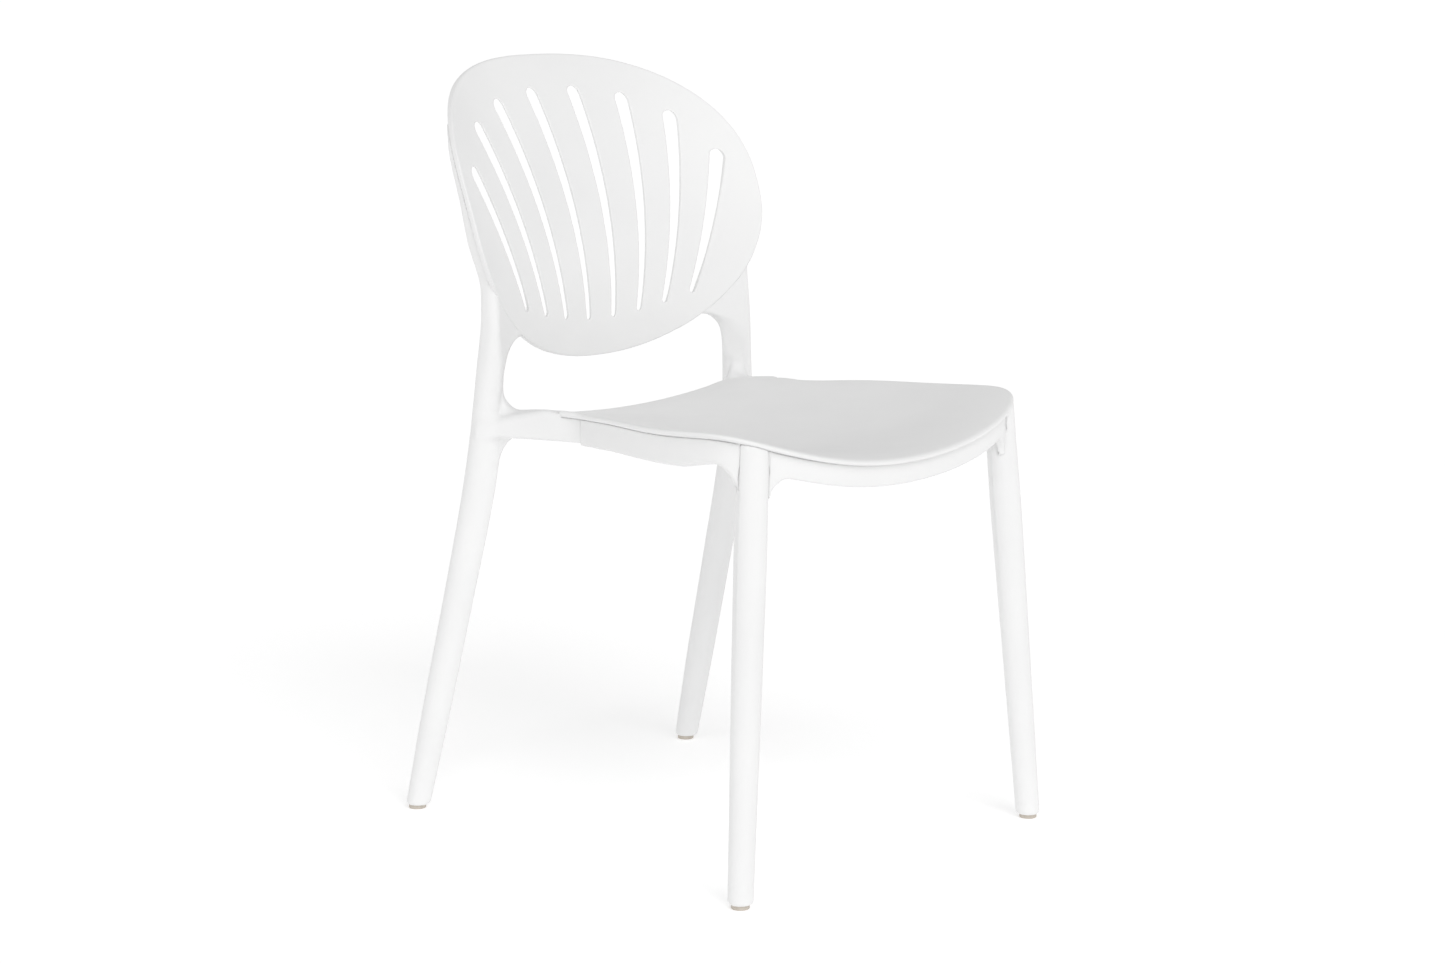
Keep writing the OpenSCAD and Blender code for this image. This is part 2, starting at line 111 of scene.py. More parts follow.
# How far the webs and brackets reach into their neighbours, and the gap left at other joints.
OVERLAP = 1.5
HAIRLINE = 0.06
CRISP_R, EDGE_R = 0.1, 0.3
ABSENT = 40.0


# ---------------------------------------------------------------------------
# Shape formulas, in millimetres, for arrays of points
# ---------------------------------------------------------------------------


def sign_pow(v, p):
    return math.copysign(abs(v) ** p, v)


def curve(stations, z):
    """Smooth value at z through (height, value) stations, as a cubic with shared slopes."""
    h = np.array([s[0] for s in stations], float)
    v = np.array([s[1] for s in stations], float)
    left = np.maximum(np.arange(len(h)) - 1, 0)
    right = np.minimum(np.arange(len(h)) + 1, len(h) - 1)
    slope = (v[right] - v[left]) / (h[right] - h[left])
    i = np.clip(np.searchsorted(h, z) - 1, 0, len(h) - 2)
    span = h[i + 1] - h[i]
    u = np.clip((z - h[i]) / span, 0, 1)
    return (
        v[i] * (1 + 2 * u) * (1 - u) ** 2
        + slope[i] * span * u * (1 - u) ** 2
        + v[i + 1] * u * u * (3 - 2 * u)
        - slope[i + 1] * span * u * u * (1 - u)
    )


def seat_top(x, y):
    """Height of the seat's upper surface."""
    sag = np.where(y < SAG_Y + SAG_HALF, np.cos(np.radians(90 * (y - SAG_Y) / SAG_HALF)) ** 2, 0)
    fall = np.where(y > REAR_FALL_Y, ((y - REAR_FALL_Y) / REAR_FALL_RUN) ** 2, 0)
    rim = SEAT_H - SAG * sag - REAR_FALL * fall
    shallower = (np.maximum(0, y - DISH_START_Y) / DISH_RUN) ** DISH_POWER
    dish = DISH_FRONT - (DISH_FRONT - DISH_REAR) * shallower
    return rim - dish * (1 - (x / SEAT_HALF_W) ** 2)


def seat_half(y):
    """Half of the seat's width at y, behind the front curve."""
    u = (y - FRONT_CURVE_Y) / (WAIST_Y - FRONT_CURVE_Y)
    rise = np.where(y < WAIST_Y, np.maximum(0, 1 - u * u) ** WAIST_POWER, 0)
    return WAIST_HALF_W + (SEAT_HALF_W - WAIST_HALF_W) * rise


def back_front(x, z):
    """Y of the backrest's front surface."""
    t = (z - BACK_Z + PROFILE_DROP) / PROFILE_UNIT
    return (
        BACK_Y + BACK_LEAN * t + BACK_BOW * t * t - BACK_BOW_FADE * t**3
        - (1 / HOLLOW_R - HOLLOW_FADE * t) * x * x / 2
        - WING * (x / WING_X) ** 4
    )


def smooth_step(v, low, high):
    """Rises smoothly from 0 at low to 1 at high."""
    u = np.clip((v - low) / (high - low), 0, 1)
    return u * u * (3 - 2 * u)


def join(a, b, r):
    """Union of two distances with a round fillet of radius r."""
    corner = np.hypot(np.maximum(r - a, 0), np.maximum(r - b, 0))
    return np.maximum(r, np.minimum(a, b)) - corner


def meet(a, b, r):
    """Intersection of two distances with a rounded edge of radius r."""
    return -join(-a, -b, r)


def outline_distance(u, v, outline):
    """Signed distance in the plane to a closed outline, negative inside."""
    a = np.asarray(outline, np.float32)
    b = np.roll(a, -1, axis=0)
    u, v = np.broadcast_arrays(u, v)
    shape = u.shape
    pu = u.ravel().astype(np.float32)
    pv = v.ravel().astype(np.float32)
    best = np.full(pu.shape, np.inf, np.float32)
    inside = np.zeros(pu.shape, bool)
    for (au, av), (bu, bv) in zip(a, b):
        eu, ev = bu - au, bv - av
        t = ((pu - au) * eu + (pv - av) * ev) / (eu * eu + ev * ev)
        t = np.clip(t, 0, 1)
        d = (pu - au - t * eu) ** 2 + (pv - av - t * ev) ** 2
        np.minimum(best, d, out=best)
        crosses = (av > pv) != (bv > pv)
        if ev != 0:
            inside ^= crosses & (pu < au + (pv - av) * eu / ev)
    d = np.sqrt(best)
    return np.where(inside, -d, d).reshape(shape)


def tapered_slot(u, v, a, b, ra, rb):
    """Signed distance in the plane to a slot with round ends of radius ra at a and rb at b."""
    length = math.dist(a, b)
    du, dv = (b[0] - a[0]) / length, (b[1] - a[1]) / length
    along = (u - a[0]) * du + (v - a[1]) * dv
    across = np.abs((u - a[0]) * dv - (v - a[1]) * du)
    lean = (ra - rb) / length
    cosine = math.sqrt(1 - lean * lean)
    side = across * cosine + along * lean - ra
    touch = along * cosine - across * lean
    near_a = np.hypot(along, across) - ra
    near_b = np.hypot(along - length, across) - rb
    return np.where(touch < 0, near_a, np.where(touch > length * cosine, near_b, side))


def column(x, y, cx, cy, rx, ry, square=2.0):
    """Distance to an upright bar, elliptic in section or squarer where square is above 2."""
    reach = (np.abs((x - cx) / rx) ** square + np.abs((y - cy) / ry) ** square) ** (1 / square)
    return (reach - 1) * np.minimum(rx, ry)


# ---------------------------------------------------------------------------
# From a distance field to a mesh
# ---------------------------------------------------------------------------

SLAB = 16
BAND_CELLS = 4
MOVES = 4
PROBE_SHARE = 0.2
LEAST_SLOPE = 0.05
LONGEST_MOVE = 0.5
TINY = 1e-9


def surface(field, space, step, place=None, thin=1.0):
    """Quads over the zero surface of field(u, v, w) in a space, each corner moved onto the surface.
    place carries (u, v, w) into x, y, z, and thin makes the cells that much lower along w."""
    low, high = np.array(space, float)
    cell = np.array([step, step, step / thin])
    axes = [np.arange(low[k], high[k] + cell[k], cell[k]) for k in range(3)]
    values = np.empty([len(a) for a in axes], np.float32)
    for start in range(0, len(axes[0]), SLAB):
        part = slice(start, start + SLAB)
        grid = np.meshgrid(axes[0][part], *axes[1:], indexing="ij", sparse=True)
        values[part] = field(*grid)
    band = BAND_CELLS * step
    volume = openvdb.FloatGrid(band)
    volume.copyFromArray(np.clip(values, -band, band))
    points, quads = volume.convertToQuads()
    points = points.astype(np.float64) * cell + low
    reach = PROBE_SHARE * cell[2]
    for _ in range(MOVES):
        here = field(*points.T)
        gradient = np.stack([
            (field(*(points + offset).T) - field(*(points - offset).T)) / (2 * reach)
            for offset in np.eye(3) * reach
        ], axis=1)
        size = np.maximum((gradient**2).sum(1), LEAST_SLOPE)
        move = -(here / size)[:, None] * gradient
        length = np.linalg.norm(move, axis=1, keepdims=True)
        points += move * np.minimum(1, LONGEST_MOVE * step / np.maximum(length, TINY))
    if place:
        points = np.stack(place(*points.T), axis=1)
    return points, quads[:, ::-1]


def add_mesh(name, points, quads, material, nodes):
    """A shaded mesh object in metres that stands for its CAD nodes."""
    mesh = bpy.data.meshes.new(name)
    mesh.from_pydata((points * MM).tolist(), [], [tuple(q) for q in quads.tolist()])
    mesh.validate()
    for polygon in mesh.polygons:
        polygon.use_smooth = True
    mesh.materials.append(material)
    piece = bpy.data.objects.new(name, mesh)
    bpy.context.scene.collection.objects.link(piece)
    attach(piece, BODY)
    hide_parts(*nodes)


def mirrored(points, quads):
    """The same shape on the other side of the chair."""
    return points * np.array([-1, 1, 1]), quads[:, ::-1]


# ---------------------------------------------------------------------------
# Outlines
# ---------------------------------------------------------------------------

SEAT_SIDE_POINTS, RAIL_SIDE_POINTS, QUARTER_POINTS = 60, 50, 46
OVAL_STEP = 3


def half_outline(start_y, side_points, inset):
    """Right half of the seat's outline, inset all round, from start_y to the front's middle."""
    half = []
    for y in np.linspace(start_y, FRONT_CURVE_Y, side_points):
        half.append((float(seat_half(np.float64(y))) - inset, y))
    reach = FRONT_CURVE_Y - SEAT_FRONT - inset
    for a in np.radians(np.linspace(0, 90, QUARTER_POINTS))[1:]:
        half.append((
            (SEAT_HALF_W - inset) * abs(math.cos(a)) ** (2 / SEAT_SQUARE),
            FRONT_CURVE_Y - reach * abs(math.sin(a)) ** (2 / SEAT_SQUARE)))
    return half


def both_halves(half):
    """A closed outline from its right half, whose last point is on the middle line."""
    return half + [(-x, y) for x, y in reversed(half[:-1])]


def oval_outline():
    """The backrest's outline, squarer above its middle than below and wider toward the top."""
    points = []
    for degrees in range(0, 360, OVAL_STEP):
        square = UPPER_SQUARE if degrees < 180 else LOWER_SQUARE
        c, s = math.cos(math.radians(degrees)), math.sin(math.radians(degrees))
        points.append((
            BACK_HALF_W * sign_pow(c, 2 / square) * (1 + BACK_EGG * s),
            BACK_Z + BACK_H / 2 * sign_pow(s, 2 / square)))
    return points


def ring_outline(depth):
    """The seat frame's outline at a depth in from its outer face, with the tongue at its rear."""
    tongue = TONGUE_HALF_W - depth
    rear = [(tongue, CROSSRAIL_Y - depth), (tongue, TONGUE_FRONT_Y)]
    return both_halves(rear + half_outline(SEAM_Y, RAIL_SIDE_POINTS, RAIL_INSET + depth))


TONGUE_FRONT_Y = SEAM_Y + 0.96
SEAT_OUTLINE = both_halves(half_outline(SEAT_REAR, SEAT_SIDE_POINTS, 0.0))
RING_OUTER, RING_INNER = ring_outline(0.0), ring_outline(RAIL_T)
OVAL = oval_outline()

# ---------------------------------------------------------------------------
# Backrest
# ---------------------------------------------------------------------------

SLOT_TOPS = [(31, 765), (92, 756), (143, 735), (182, 692)]
SLOT_FEET = [(18.5, 520), (54, 524), (88, 530.5), (122.5, 539.5)]
SLOT_TOP_R, SLOT_FOOT_R = 7.75, 3.1
SLOT_DRAFT = 0.3
SLOT_FRONT_R, SLOT_BACK_R = 1.3, 1.0

RIM_BAND = (-46.0, -24.0)
RIM_FRONT_R, RIM_BACK_R = 1.9, 1.6
WEB_RIM_SHARPER = 1.5
OVER_WEB_Z, OVER_WEB_X = (-590.0, -560.0), (96.0, 124.0)
TOP_BAND = (TOP_Z - 32, TOP_Z - 4)


def slots_distance(x, z):
    """Distance to the nearest fan slot of the backrest."""
    side = np.abs(x)
    nearest = np.full(x.shape, np.inf)
    for top, foot in zip(SLOT_TOPS, SLOT_FEET):
        length = math.dist(top, foot)
        du, dv = (foot[0] - top[0]) / length, (foot[1] - top[1]) / length
        a = (top[0] + du * SLOT_TOP_R, top[1] + dv * SLOT_TOP_R)
        b = (foot[0] - du * SLOT_FOOT_R, foot[1] - dv * SLOT_FOOT_R)
        nearest = np.minimum(nearest, tapered_slot(side, z, a, b, SLOT_TOP_R, SLOT_FOOT_R))
    return nearest


def shell_field(x, z, w):
    """Backrest, with w the depth behind its front surface, thickest along its rim."""
    rim = outline_distance(x, z, OVAL)
    behind = w - SLAT_T - (RIM_T - SLAT_T) * smooth_step(rim, *RIM_BAND)
    over_web = smooth_step(-z, *OVER_WEB_Z) * smooth_step(np.abs(x), *OVER_WEB_X)
    front = meet(-w, rim, RIM_FRONT_R - WEB_RIM_SHARPER * over_web)
    whole = np.maximum(meet(front, behind, CRISP_R), meet(behind, rim, RIM_BACK_R))
    hole = SLOT_DRAFT * np.clip(w, 0, RIM_T) - slots_distance(x, z)
    cut = np.maximum(meet(-w, hole, SLOT_FRONT_R), meet(behind, hole, SLOT_BACK_R))
    return np.maximum(whole, cut)


def shell_place(x, z, w):
    """Carries the backrest's own coordinates into x, y, z, thinning it toward the top."""
    thinning = 1 - (1 - TOP_T / RIM_T) * smooth_step(z, *TOP_BAND)
    return x, back_front(x, z) + w * thinning, z


# ---------------------------------------------------------------------------
# Front legs
# ---------------------------------------------------------------------------

FRONT_R = [(0, 12.6), (120, 13.9), (235, 15.2), (340, 16.3), (395, 15.9), (460, 15.8)]
LEG_END_R = 4.0
GROOVE_Z = (210.0, 340.0)
GROOVE_SHARE, REAR_STRETCH = 0.11, 0.6
SHOULDER_SHARE = 0.18
SHOULDER_R, GROOVE_R = 0.8, 0.6
UNDER_LIP_R = 1.0


def front_leg_axis(z):
    """X and y of the right front leg's middle at a height."""
    share = z / FRONT_HEAD_Z
    return [foot + (head - foot) * share for foot, head in zip(FRONT_FOOT, FRONT_HEAD)]


def front_leg_solid(x, y, z):
    """Distance to the front leg, whose rear part is narrower than its round front toward the top."""
    cx, cy = front_leg_axis(z)
    r = curve(FRONT_R, z)
    groove = GROOVE_SHARE * smooth_step(z, *GROOVE_Z)
    ahead = meet(column(x, y, cx, cy, r, r), y - cy - SHOULDER_SHARE * r, SHOULDER_R)
    behind = column(x, y, cx, cy, r * (1 - groove), r * (1 + REAR_STRETCH * groove))
    return join(ahead, behind, GROOVE_R)


def front_leg_field(x, y, z):
    """Right-hand front leg, up to the shadow gap under the seat's lip."""
    body = meet(front_leg_solid(x, y, z), GLIDE_H - z, LEG_END_R)
    under_lip = z - (seat_top(x, y) - SEAT_T - HAIRLINE)
    return meet(body, under_lip, UNDER_LIP_R)


# ---------------------------------------------------------------------------
# Stile, bracket and what they share with the seat panel
# ---------------------------------------------------------------------------

REAR_X = [
    (0, 206), (115, 201.8), (230, 197.6), (345, 193.4), (410, 189.3), (467, 184.7), (523, 179.5),
    (550, 180), (575, 182.5), (615, 197), (657, 204), (708, 200.5), (740, 186)]
REAR_Y = [
    (0, 246), (115, 216.3), (230, 186.3), (345, 157), (410, 147), (467, 143.5), (523, 140.5),
    (550, 141), (575, 142.5), (615, 144.5), (657, 150.5), (708, 174), (740, 197.5)]
REAR_RX = [
    (0, 13), (115, 15.3), (230, 16.1), (345, 17.3), (410, 17), (467, 16), (523, 14.2),
    (550, 12.8), (575, 11), (615, 10), (657, 8.8), (708, 7), (740, 5)]
REAR_RY = [
    (0, 13), (115, 15.3), (230, 16.1), (345, 17.3), (410, 17), (467, 16), (523, 14.4),
    (550, 12.3), (575, 11), (615, 10), (657, 8.5), (708, 6), (740, 3)]
STILE_SQUARER, STILE_SQUARER_Z = 0.8, (450, 530)

BRACKET_LOW = 416.5
BRACKET_REAR = SEAT_REAR + 0.5
BRACKET_FRONT = SEAM_Y - 0.5
HIDDEN_STEP = 0.15
BRACKET_NARROW = WAIST_HALF_W - RAIL_INSET - HIDDEN_STEP
BRACKET_COVER, BRACKET_POWER = 1.02, 1.22
BRACKET_ROUNDER, BRACKET_ROUNDER_Y = 3, (70, 120)
BRACKET_LOW_R, BRACKET_END_R, BRACKET_FRONT_R = 4.0, 1.0, 0.2
EDGE_FALL, EDGE_FALL_Y = 0.25, (60, 100)

INNER_CORNER = (0.695, 0.719)
CORNER_FACING = (0.7, 0.97)
CORNER_FILLET, UPPER_FILLET, LOWER_FILLET_MORE = 30.0, 2, 6
LOWER_FILLET_Z = (-450, -436)
OPENING_SIDE = [
    (400, 20), (440, 15), (474, 12.4), (485, 12.6), (499, 14.4), (508, 18.5), (514, 28), (520, 60)]
OPENING_R = 5.0


def rear_column(x, y, z):
    """Distance to the rear leg and its stile, squarer above the seat."""
    square = 2 + STILE_SQUARER * smooth_step(z, *STILE_SQUARER_Z)
    centre = curve(REAR_X, z), curve(REAR_Y, z)
    return column(x, y, *centre, curve(REAR_RX, z), curve(REAR_RY, z), square)


def bracket_outer(y, z):
    """Half-width over the brackets, from the rail's face back to a plane that touches the leg."""
    stile = curve(REAR_X, z) + BRACKET_COVER * curve(REAR_RX, z)
    share = np.maximum(0, y - SEAM_Y) / (curve(REAR_Y, z) - SEAM_Y)
    return BRACKET_NARROW + (stile - BRACKET_NARROW) * share ** BRACKET_POWER


def bracket_field(x, y, z):
    """Bar from the stile forward along the seat's side, flush with the seat on top."""
    fall = EDGE_FALL * np.maximum(0, x - WAIST_HALF_W) * smooth_step(y, *EDGE_FALL_Y)
    top = seat_top(np.minimum(x, WAIST_HALF_W), y) - fall - HIDDEN_STEP
    upper_r = LIP_R + BRACKET_ROUNDER * smooth_step(y, *BRACKET_ROUNDER_Y)
    section = meet(z - top, x - bracket_outer(y, z), upper_r)
    section = meet(section, BRACKET_LOW - z, BRACKET_LOW_R)
    section = meet(section, TONGUE_HALF_W + HAIRLINE - x, BRACKET_END_R)
    section = meet(section, y - BRACKET_REAR, BRACKET_END_R)
    return meet(section, BRACKET_FRONT - y, BRACKET_FRONT_R)


def toward_inner_corner(x, y, z):
    """Reach from the stile's axis toward its inner front corner, and the distance from that axis."""
    along_x, along_y = x - curve(REAR_X, z), y - curve(REAR_Y, z)
    reach = -(INNER_CORNER[0] * along_x + INNER_CORNER[1] * along_y)
    return reach, np.hypot(along_x, along_y)


def corner_fillet(x, y, z):
    """Radius between stile and seat: wide on the inner front corner, small elsewhere."""
    reach, distance = toward_inner_corner(x, y, z)
    small = UPPER_FILLET + LOWER_FILLET_MORE * smooth_step(-z, *LOWER_FILLET_Z)
    facing = smooth_step(reach / np.maximum(distance, 1.0), *CORNER_FACING)
    return small + (CORNER_FILLET - small) * facing


def opening_side(x, y, z):
    """Distance past the flat on the stile's inner front corner, beside the opening."""
    return toward_inner_corner(x, y, z)[0] - curve(OPENING_SIDE, z)


# ---------------------------------------------------------------------------
# Seat panel
# ---------------------------------------------------------------------------

ROOM_TOP_Z = 492.0
STILE_FRONT_Y = 85
REAR_EDGE_X = (130.0, 152.0)
PANEL_LOW_R = 2.6


def panel_room(x, y, z):
    """Distance to the space that the seat panel's edge takes, from its underside up."""
    inner = WAIST_HALF_W - BRACKET_STEP * smooth_step(y, *BRACKET_STEP_Y)
    room = np.maximum(x - inner, y - SEAT_REAR) + OVERLAP
    return np.maximum(np.maximum(room, seat_top(x, y) - SEAT_T - HAIRLINE - z), z - ROOM_TOP_Z)


def panel_field(x, y, w):
    """Seat panel, with w the height above the seat's upper surface."""
    side = np.abs(x)
    outline = outline_distance(side, y, SEAT_OUTLINE)
    notch = side - (WAIST_HALF_W - BRACKET_STEP)
    behind = smooth_step(y, *BRACKET_STEP_Y)
    rim = outline + behind * (notch - outline)
    rim = np.maximum(rim, y - SEAT_REAR)
    z = seat_top(x, y) + w
    stile = meet(rear_column(side, y, z), opening_side(side, y, z), OPENING_R)
    crown = np.where(y > STILE_FRONT_Y, join(w, stile, corner_fillet(side, y, z)), w)
    crown = meet(crown, np.where(y > LIP_END_Y, side - bracket_outer(y, z), outline), LIP_R)
    rear_r = LIP_R - (LIP_R - EDGE_R) * smooth_step(side, *REAR_EDGE_X)
    crown = meet(crown, y - SEAT_REAR, rear_r)
    return np.maximum(meet(crown, rim, EDGE_R), meet(-w - SEAT_T, rim, PANEL_LOW_R))


def panel_place(x, y, w):
    """Carries the seat panel's own coordinates into x, y, z, with its rim rolled over."""
    inward = np.clip(-outline_distance(np.abs(x), y, SEAT_OUTLINE) / ROLL_W, 0, 1)
    roll = ROLL_DROP * (1 - inward) ** 2 * smooth_step(-y, -LIP_END_Y, 0)
    return x, y, seat_top(x, y) + w - roll * np.clip(1 + w / SEAT_T, 0, 1)


# ---------------------------------------------------------------------------
# Rear legs
# ---------------------------------------------------------------------------

WEB_ARC_CENTRE, WEB_ARC_SIZE = (138.0, 478.0), (26.0, 36.0)
WEB_OUTLINE = [(116, 520)]
for degrees in range(95, -1, -5):
    WEB_OUTLINE.append((
        WEB_ARC_CENTRE[0] + WEB_ARC_SIZE[0] * math.cos(math.radians(degrees)),
        WEB_ARC_CENTRE[1] + WEB_ARC_SIZE[1] * math.sin(math.radians(degrees))))
WEB_OUTLINE += [
    (170, 466), (182, 466), (182, 560), (188, 590), (200, 630), (204, 655), (200, 668), (191, 668),
    (182, 648), (162, 600), (138, 548)]

ARM_TOP = 736.0
HOLLOWEST_Z = 521.0
WEB_T = 10.0
WEB_PROUD, WEB_PROUD_Z = 8.0, (HOLLOWEST_Z - 22, HOLLOWEST_Z)
WEB_LOW_Z = 455.0
WEB_FACE_R, WEB_OUTLINE_R, WEB_FILLET = 2.0, 3.0, 9.0
FACE_SET, FACE_R = 0.35, 4.0
FACE_LOW_Z = 446.0
FACE_AHEAD = [(446, 75), (458, 30), (470, 9), (482, 5), (500, 2), (521, 0)]


def rear_leg_field(x, y, z):
    """Right-hand rear leg with its stile, arm, web and bracket."""
    leg = meet(rear_column(x, y, z), GLIDE_H - z, LEG_END_R)
    leg = np.maximum(leg, z - ARM_TOP)
    depth = y - back_front(x, np.maximum(z, HOLLOWEST_Z))
    proud = WEB_PROUD * smooth_step(z, *WEB_PROUD_Z)
    web = meet(-depth - proud, depth - WEB_T, WEB_FACE_R)
    web = meet(web, outline_distance(x, z, WEB_OUTLINE), WEB_OUTLINE_R)
    web = np.where(z > WEB_LOW_Z, web, ABSENT)
    body = meet(join(leg, web, WEB_FILLET), opening_side(x, y, z), OPENING_R)
    body = join(body, bracket_field(x, y, z), corner_fillet(x, y, z))
    face = FACE_SET - depth - curve(FACE_AHEAD, z)
    body = np.where(z > FACE_LOW_Z, meet(body, face, FACE_R), body)
    body = meet(body, -panel_room(x, y, z), EDGE_R)
    rebate = np.maximum(outline_distance(x, z, OVAL) + OVERLAP, depth - RIM_T - HAIRLINE)
    rebate = np.where(z > WEB_LOW_Z, rebate, ABSENT)
    return meet(body, -rebate, EDGE_R)


# ---------------------------------------------------------------------------
# Seat frame
# ---------------------------------------------------------------------------

APRON_H, RAIL_H, RAIL_DEEPER_Y = 21.0, 26.0, (-200, -150)
RING_DROP = 1.2
RING_FACE_R, RING_LOW_R, RING_TOP_R = 1.5, 2.0, 0.4
BEHIND_SEAM_Y = SEAM_Y + 1
TONGUE_LOW = BRACKET_LOW + 1.5

LEG_TOP = (186.5, -233.2)
LEG_TOP_R = FRONT_R[4][1] + 1
WEB_R = 23.0
WEB_WALL = (6.5, 9.0)
LEG_FILLET, LEG_EDGE_R = 3.0, 0.2

SOCKET_R = 26.0
SOCKET_LOW, SOCKET_TOP = 406.0, 433.0
SOCKET_INSET = 3
SOCKET_LOW_R, SOCKET_TOP_R, SOCKET_FILLET = 2.0, 1.0, 4.0

PANEL_SCREWS = [(60, -255), (177, -150), (168, -60), (144, 70)]
SCREW_SEAT = 8.0
WELL_R, WELL_EDGE_R = 4.6, 0.5


def frame_field(x, y, w):
    """Seat frame, with w the height above the seat panel's underside."""
    side = np.abs(x)
    under_panel = seat_top(x, y) - SEAT_T
    z = under_panel + w
    outer = outline_distance(side, y, RING_OUTER)
    ring = meet(outer, -outline_distance(side, y, RING_INNER), RING_FACE_R)
    from_leg = np.hypot(side - LEG_TOP[0], y - LEG_TOP[1]) - LEG_TOP_R
    short = np.clip(WEB_R - from_leg, 0, WEB_R)
    drop = WEB_R - np.sqrt(np.maximum(WEB_R**2 - short**2, 0))
    depth = APRON_H + (RAIL_H - APRON_H) * smooth_step(y, *RAIL_DEEPER_Y) + RING_DROP + drop
    depth = depth - drop * smooth_step(-outer, *WEB_WALL)
    depth = np.where(y > BEHIND_SEAM_Y, np.minimum(depth, under_panel - TONGUE_LOW), depth)
    ring = meet(ring, -w - depth, RING_LOW_R)
    ring = meet(ring, w + HAIRLINE, RING_TOP_R)
    cx, cy = front_leg_axis(z)
    socket = meet(np.hypot(side - cx, y - cy) - SOCKET_R, SOCKET_LOW - z, SOCKET_LOW_R)
    socket = meet(socket, z - SOCKET_TOP, SOCKET_TOP_R)
    socket = np.maximum(np.maximum(socket, outer + SOCKET_INSET), -w - depth)
    whole = join(ring, socket, SOCKET_FILLET)
    leg = front_leg_solid(side, y, z)
    whole = meet(join(whole, leg, LEG_FILLET), HAIRLINE - leg, LEG_EDGE_R)
    for sx, sy in PANEL_SCREWS:
        well = np.maximum(np.hypot(side - sx, y - sy) - WELL_R, w + SCREW_SEAT)
        whole = meet(whole, -well, WELL_EDGE_R)
    return whole


def frame_place(x, y, w):
    """Carries the seat frame's own coordinates into x, y, z."""
    return x, y, seat_top(x, y) - SEAT_T + w


# ---------------------------------------------------------------------------
# Materials
# ---------------------------------------------------------------------------

GRAIN_DEPTH = 0.0002


def new_material(name):
    """An empty node material with its shader and output."""
    material = bpy.data.materials.new(name)
    material.use_nodes = True
    tree = material.node_tree
    tree.nodes.clear()
    shader = tree.nodes.new("ShaderNodeBsdfPrincipled")
    output = tree.nodes.new("ShaderNodeOutputMaterial")
    tree.links.new(shader.outputs["BSDF"], output.inputs["Surface"])
    return material, tree, shader


def noise(tree, scale, detail, rough=0.5):
    """Procedural noise in the object's own coordinates."""
    place = tree.nodes.new("ShaderNodeTexCoord")
    texture = tree.nodes.new("ShaderNodeTexNoise")
    texture.inputs["Scale"].default_value = scale
    texture.inputs["Detail"].default_value = detail
    texture.inputs["Roughness"].default_value = rough
    tree.links.new(place.outputs["Object"], texture.inputs["Vector"])
    return texture.outputs["Fac"]


def ramp(tree, source, low, high, start=0.3, end=0.7):
    """Maps a value onto a colour or grey between two stops."""
    node = tree.nodes.new("ShaderNodeValToRGB")
    node.color_ramp.elements[0].position = start
    node.color_ramp.elements[1].position = end
    node.color_ramp.elements[0].color = low
    node.color_ramp.elements[1].color = high
    tree.links.new(source, node.inputs["Fac"])
    return node.outputs["Color"]


def grain(tree, shader, height, strength):
    """Gives a shader a fine relief."""
    bump = tree.nodes.new("ShaderNodeBump")
    bump.inputs["Strength"].default_value = strength
    bump.inputs["Distance"].default_value = GRAIN_DEPTH
    tree.links.new(height, bump.inputs["Height"])
    tree.links.new(bump.outputs["Normal"], shader.inputs["Normal"])


def grey(v):
    return (v, v, v, 1)


def white_plastic():
    """Moulded polypropylene: satin, with a fine grain and faint flow clouding."""
    material, tree, shader = new_material("white_polypropylene")
    colour = ramp(tree, noise(tree, 9.0, 3.0), grey(0.80), (0.83, 0.83, 0.828, 1))
    tree.links.new(colour, shader.inputs["Base Color"])
    satin = ramp(tree, noise(tree, 60.0, 4.0), grey(0.44), grey(0.52))
    tree.links.new(satin, shader.inputs["Roughness"])
    shader.inputs["Specular IOR Level"].default_value = 0.45
    grain(tree, shader, noise(tree, 1400.0, 3.0, 0.6), 0.12)
    return material


def glide_plastic():
    """Grey-beige nylon with a matt, mottled surface."""
    material, tree, shader = new_material("glide_nylon")
    colour = ramp(tree, noise(tree, 300.0, 5.0), (0.48, 0.43, 0.375, 1), (0.57, 0.52, 0.46, 1))
    tree.links.new(colour, shader.inputs["Base Color"])
    matt = ramp(tree, noise(tree, 900.0, 4.0), grey(0.5), grey(0.75))
    tree.links.new(matt, shader.inputs["Roughness"])
    grain(tree, shader, noise(tree, 2500.0, 3.0), 0.25)
    return material


def metal(name, low, high, rough_low, rough_high):
    """Plated or turned metal with fine tool marks."""
    material, tree, shader = new_material(name)
    shader.inputs["Metallic"].default_value = 1.0
    tree.links.new(ramp(tree, noise(tree, 700.0, 4.0), low, high), shader.inputs["Base Color"])
    marks = ramp(tree, noise(tree, 1500.0, 3.0), grey(rough_low), grey(rough_high))
    tree.links.new(marks, shader.inputs["Roughness"])
    return material


WHITE = white_plastic()
BEIGE = glide_plastic()
STEEL = metal("zinc_plated_steel", (0.55, 0.55, 0.57, 1), (0.66, 0.66, 0.67, 1), 0.25, 0.4)
BRASS = metal("turned_brass", (0.66, 0.48, 0.2, 1), (0.76, 0.58, 0.28, 1), 0.25, 0.4)

# ---------------------------------------------------------------------------
# The camera
# ---------------------------------------------------------------------------

CAMERA_AZIMUTH, CAMERA_ELEVATION = -46.016, 10.018
CAMERA_DISTANCE = 3.3561
CAMERA_TARGET = Vector((0.0, -0.0128, 0.3627))
CAMERA_LENS, CAMERA_SENSOR = 79.59, 36.0
CLIP_NEAR, CLIP_FAR = 0.05, 200.0


